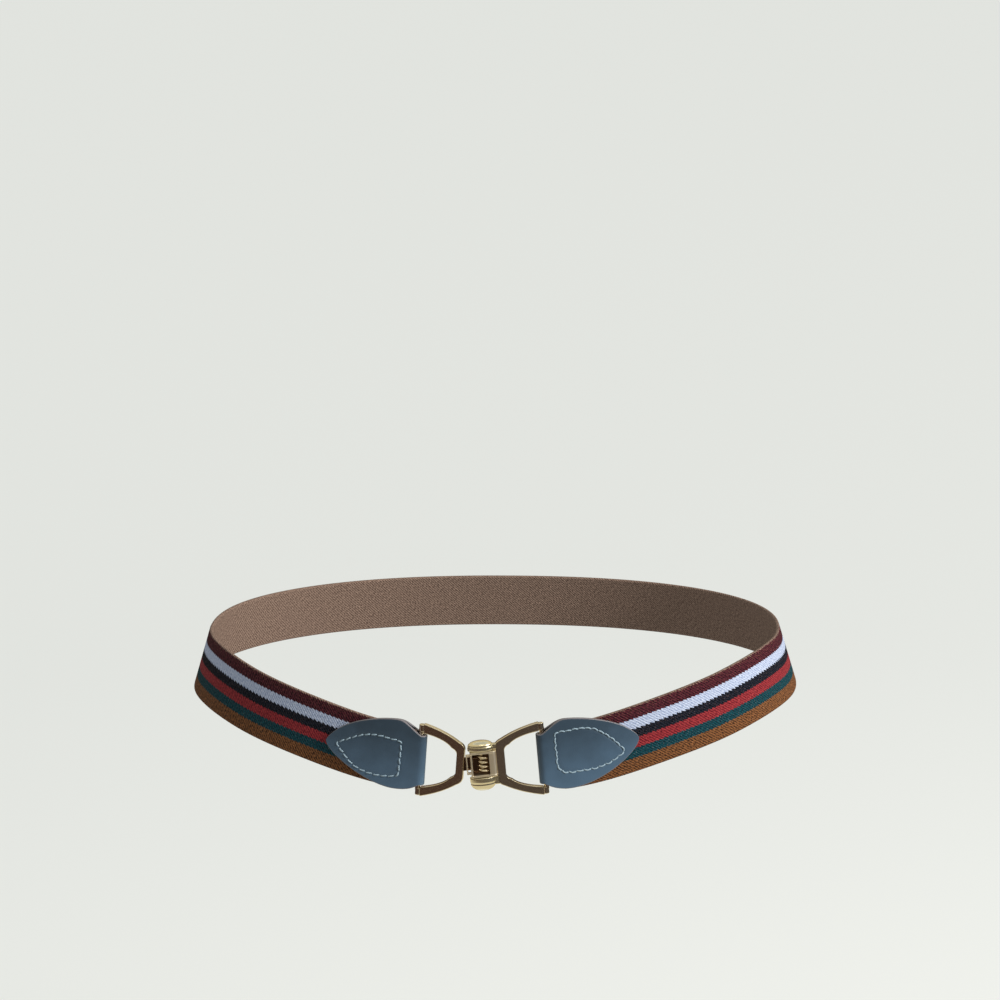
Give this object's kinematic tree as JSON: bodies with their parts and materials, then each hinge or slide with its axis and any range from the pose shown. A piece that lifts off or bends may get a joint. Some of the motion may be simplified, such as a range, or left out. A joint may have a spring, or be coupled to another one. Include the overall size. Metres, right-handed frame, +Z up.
{
  "type": "stretch belt",
  "caption": "Striped elastic waist belt, fastened in a loop, with pointed leather tabs and a cast metal hook clasp at the front.",
  "frame": {"origin": "middle of the waist loop, level with the band's centre line at the back, where a waist holds it", "axes": "+Z up the waist, the buckle faces -Y, +X to the right of someone looking at the buckle"},
  "size_m": [0.2508, 0.1854, 0.0469],
  "materials": {
    "webbing": "striped woven elastic, matt",
    "leather": "smooth slate-blue leather, satin",
    "gold_metal": "polished pale gold plating"
  },
  "bodies": {
    "root": {"elastic_webbing": "webbing", "leather_tab_left": "leather", "leather_tab_right": "leather", "buckle_frame_left": "gold_metal", "buckle_frame_right": "gold_metal", "clasp_clip": "gold_metal", "hinge_pin": "gold_metal", "clasp_spring": "gold_metal"}
  },
  "joints": []
}
